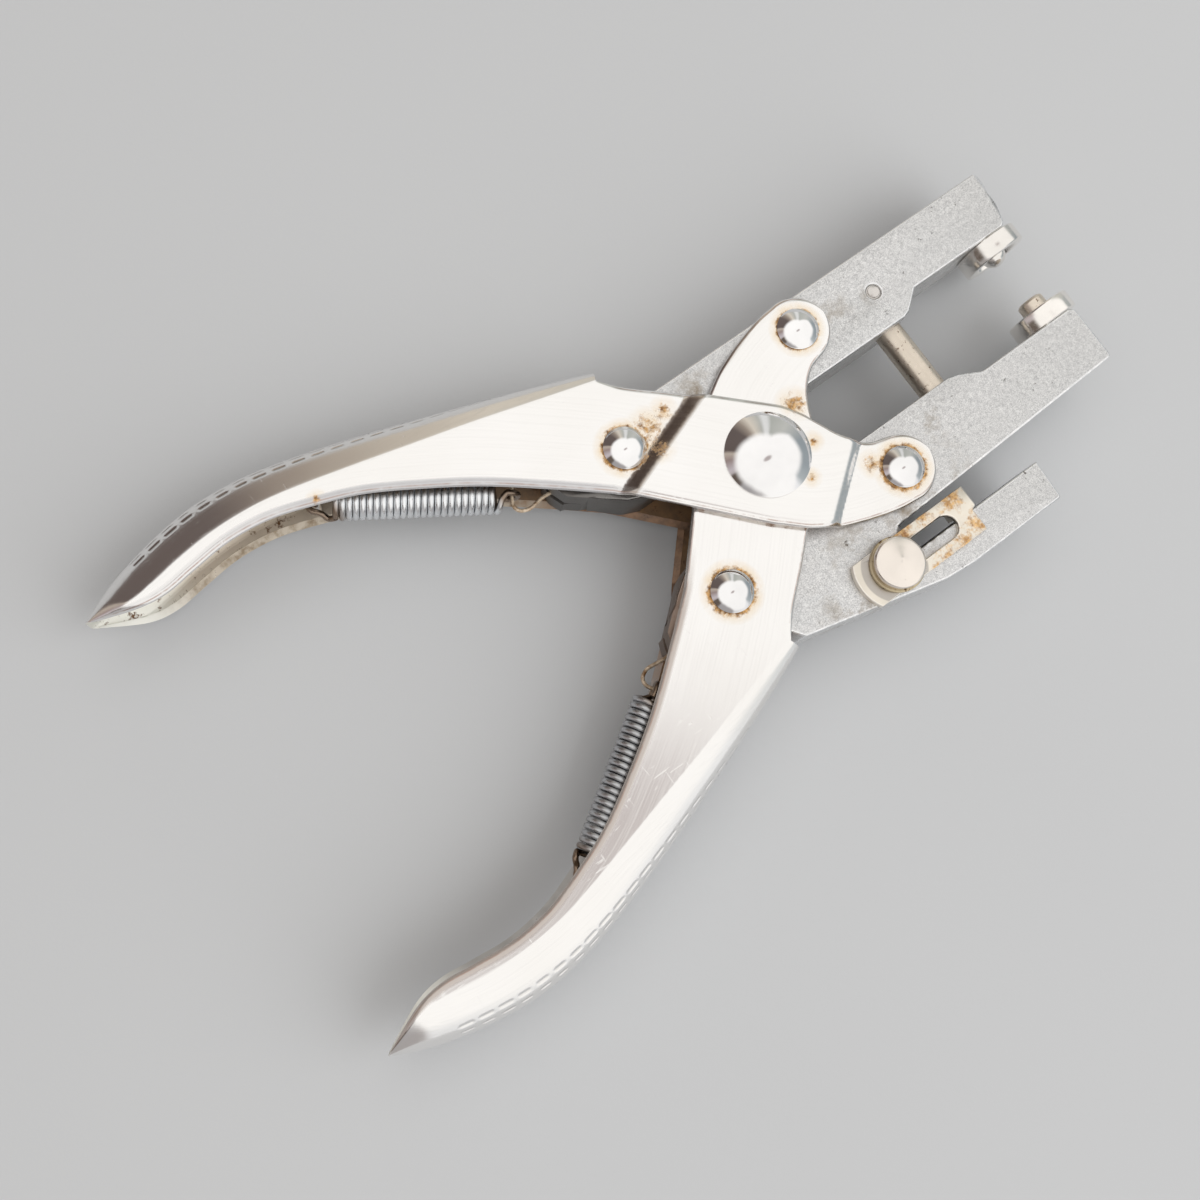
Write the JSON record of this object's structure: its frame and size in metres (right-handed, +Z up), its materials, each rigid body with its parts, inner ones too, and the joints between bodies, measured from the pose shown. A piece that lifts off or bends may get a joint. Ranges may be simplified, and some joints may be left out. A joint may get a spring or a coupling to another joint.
{
  "type": "eyelet pliers",
  "caption": "Parallel-jaw hand pliers with eyelet-setting dies at the jaw tips, a side punch with a paper slot and depth stop, and sprung hollow handles.",
  "frame": {"origin": "centre of the flat underside of the centre rivet's low head, on which the tool lies", "axes": "+X along the jaws towards their tips, Y across the jaws in the closing direction with the punching arm towards -Y, +Z up from the table through the centre rivet"},
  "size_m": [0.1647, 0.0924, 0.0211],
  "materials": {
    "nickelPlate": "worn polished nickel plate",
    "jawSteel": "sand-textured grey steel casting with bright worn edges",
    "rivetSteel": "polished steel with brown rust at the rims",
    "toolSteel": "turned and polished tool steel",
    "punchSteel": "browned tool steel",
    "yellowedPlate": "yellowed nickel plate with light rust",
    "knobNickel": "satin nickel",
    "springSteel": "zinc-bright spring wire",
    "hookWire": "rusty wire"
  },
  "bodies": {
    "handle_b": {"handle_b": "nickelPlate", "centre_rivet": "rivetSteel", "centre_sleeve": "toolSteel", "front_rivet_b": "rivetSteel", "rear_rivet_b": "rivetSteel", "slide_bush_b": "toolSteel", "spring_anchor_b": "hookWire"},
    "handle_a": {"handle_a": "nickelPlate", "front_rivet_a": "rivetSteel", "rear_rivet_a": "rivetSteel", "slide_bush_a": "toolSteel", "spring_anchor_a": "hookWire"},
    "upper_jaw": {"upper_jaw": "jawSteel", "upper_die": "toolSteel", "punch_rod": "punchSteel", "punch_cross_pin": "toolSteel", "tail_pin_upper": "toolSteel"},
    "lower_jaw": {"lower_jaw": "jawSteel", "lower_die": "toolSteel", "post_spring": "springSteel", "tail_pin_lower": "toolSteel"},
    "post": {"locating_post": "toolSteel"},
    "stop": {"stop_plate": "yellowedPlate"},
    "knob": {"stop_knob": "knobNickel", "knob_washer": "yellowedPlate"},
    "spring_a": {"return_spring_a": "springSteel"},
    "hook_a": {"spring_hook_a": "hookWire"},
    "spring_b": {"return_spring_b": "springSteel"},
    "hook_b": {"spring_hook_b": "hookWire"}
  },
  "joints": [
    {"name": "handle_pivot", "type": "hinge", "parent": "handle_b", "child": "handle_a", "pos_m": [0, 0, 0.00975], "axis": [0, 0, 1], "range_deg": [0, 31.6], "stiffness_Nm_per_rad": 0.3, "springref_deg": -28.65},
    {"name": "upper_jaw_pivot", "type": "hinge", "parent": "handle_b", "child": "upper_jaw", "pos_m": [0.01784, 0.01419, 0.00975], "axis": [0, 0, 1], "range_deg": [0, 15.8]},
    {"name": "lower_jaw_pivot", "type": "hinge", "parent": "handle_a", "child": "lower_jaw", "pos_m": [0.01784, -0.01419, 0.00975], "axis": [0, 0, 1], "range_deg": [-15.8, 0]},
    {"name": "post_press", "type": "slide", "parent": "lower_jaw", "child": "post", "axis": [0, -1, 0], "range_m": [0, 0.0034], "deforming": ["post_spring"]},
    {"name": "stop_slide", "type": "slide", "parent": "lower_jaw", "child": "stop", "axis": [1, 0, 0], "range_m": [-0.0104, 0]},
    {"name": "knob_turn", "type": "hinge", "parent": "lower_jaw", "child": "knob", "pos_m": [0.0069, -0.0262, 0.00975], "axis": [0, 0, 1], "range_deg": [0, 180]},
    {"name": "spring_swing_a", "type": "hinge", "parent": "handle_a", "child": "spring_a", "pos_m": [-0.0618, 0.0359, 0.00975], "axis": [0, 0, 1], "range_deg": [0, 6.2]},
    {"name": "spring_stretch_a", "type": "slide", "parent": "spring_a", "child": "hook_a", "axis": [0.8766, -0.4813, 0], "range_m": [0, 0.00632], "deforming": ["return_spring_a"]},
    {"name": "spring_swing_b", "type": "hinge", "parent": "handle_b", "child": "spring_b", "pos_m": [-0.0618, -0.0359, 0.00975], "axis": [0, 0, 1], "range_deg": [-6.2, 0]},
    {"name": "spring_stretch_b", "type": "slide", "parent": "spring_b", "child": "hook_b", "axis": [0.8766, 0.4813, 0], "range_m": [0, 0.00632], "deforming": ["return_spring_b"]}
  ],
  "couplings": [
    {"joint": "upper_jaw_pivot", "follows": "handle_pivot", "ratio": 0.5},
    {"joint": "lower_jaw_pivot", "follows": "handle_pivot", "ratio": -0.5},
    {"joint": "post_press", "follows": "handle_pivot", "m_per_rad": 0.006164},
    {"joint": "spring_swing_a", "follows": "handle_pivot", "ratio": 0.1959},
    {"joint": "spring_stretch_a", "follows": "handle_pivot", "m_per_rad": 0.011426},
    {"joint": "spring_swing_b", "follows": "handle_pivot", "ratio": -0.1959},
    {"joint": "spring_stretch_b", "follows": "handle_pivot", "m_per_rad": 0.011426}
  ]
}
